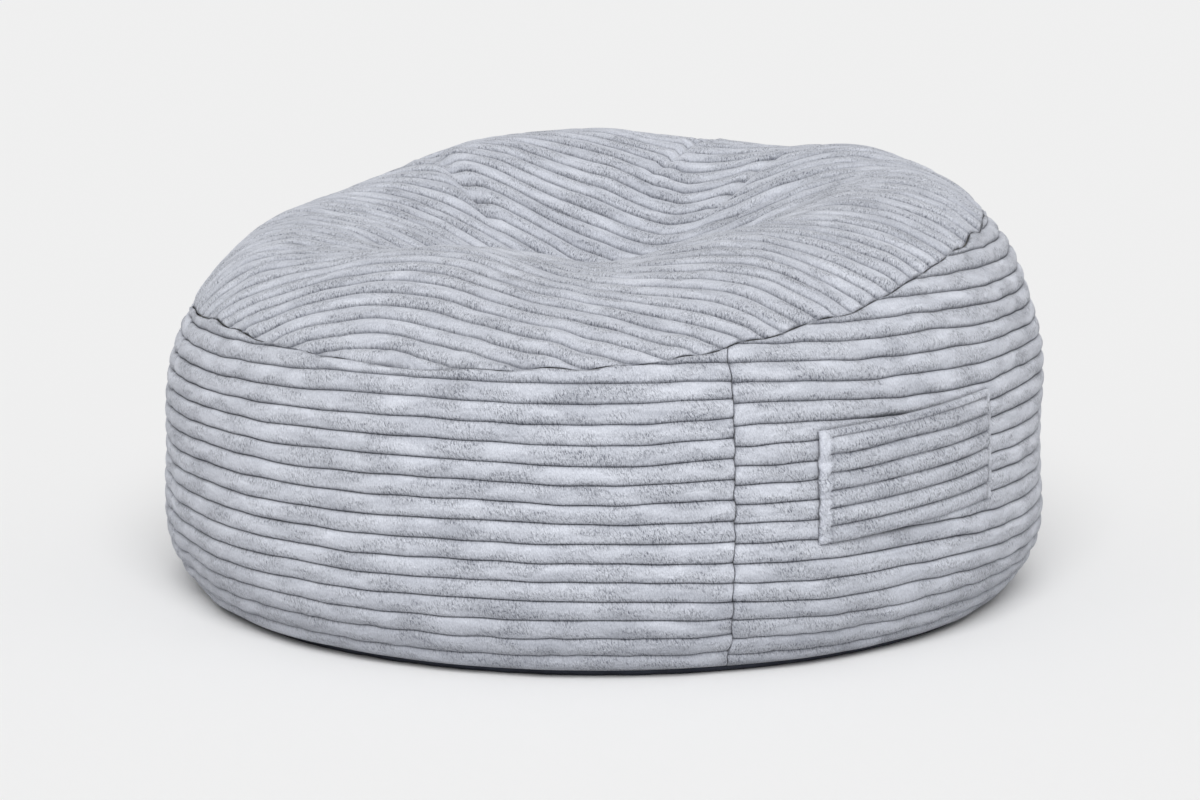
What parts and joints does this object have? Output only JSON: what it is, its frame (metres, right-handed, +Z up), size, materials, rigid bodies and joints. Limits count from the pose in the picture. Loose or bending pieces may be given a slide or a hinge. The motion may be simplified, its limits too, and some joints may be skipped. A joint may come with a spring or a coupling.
{
  "type": "bean bag chair",
  "caption": "Low round bean bag chair in jumbo cord, with a pressed seat hollow, a side pocket, an inner liner and zips underneath.",
  "frame": {"origin": "centre of the chair's outline, on the floor that it stands on", "axes": "+Z up; the sitter faces -Y; the side pocket is towards +X"},
  "size_m": [1.0814, 1.08, 0.5276],
  "materials": {
    "plush_cord": "soft brushed jumbo cord",
    "base_cloth": "plain heavy woven cloth",
    "zip_tape": "woven tape",
    "zip_coil": "satin",
    "zip_metal": "satin",
    "liner_cloth": "plain light woven cloth",
    "filling": "loose foam",
    "label": "smooth woven tape"
  },
  "bodies": {
    "bag": {"seat_panel": "plush_cord", "wall_panel_front": "plush_cord", "wall_panel_pocket_side": "plush_cord", "wall_panel_back": "plush_cord", "wall_panel_other_side": "plush_cord", "side_pocket": "plush_cord", "base_panel_front": "base_cloth", "base_panel_back": "base_cloth", "base_zip_tape_front": "zip_tape", "base_zip_tape_back": "zip_tape", "base_zip_coil_front": "zip_coil", "base_zip_coil_back": "zip_coil", "base_zip_stop_left": "zip_metal", "base_zip_stop_right": "zip_metal", "care_label": "label", "liner_top": "liner_cloth", "liner_wall": "liner_cloth", "liner_base_front": "liner_cloth", "liner_base_back": "liner_cloth", "liner_zip_tape_front": "zip_tape", "liner_zip_tape_back": "zip_tape", "liner_zip_coil_front": "zip_coil", "liner_zip_coil_back": "zip_coil", "liner_zip_stop_left": "zip_metal", "liner_zip_stop_right": "zip_metal", "filling": "filling"},
    "base_slider": {"base_zip_slider": "zip_metal"},
    "liner_slider": {"liner_zip_slider": "zip_metal"}
  },
  "joints": [
    {"name": "base_zip_slide", "type": "slide", "parent": "bag", "child": "base_slider", "axis": [1, 0, 0], "range_m": [-0.737, 0]},
    {"name": "liner_zip_slide", "type": "slide", "parent": "bag", "child": "liner_slider", "axis": [1, 0, 0], "range_m": [-0.577, 0]}
  ]
}
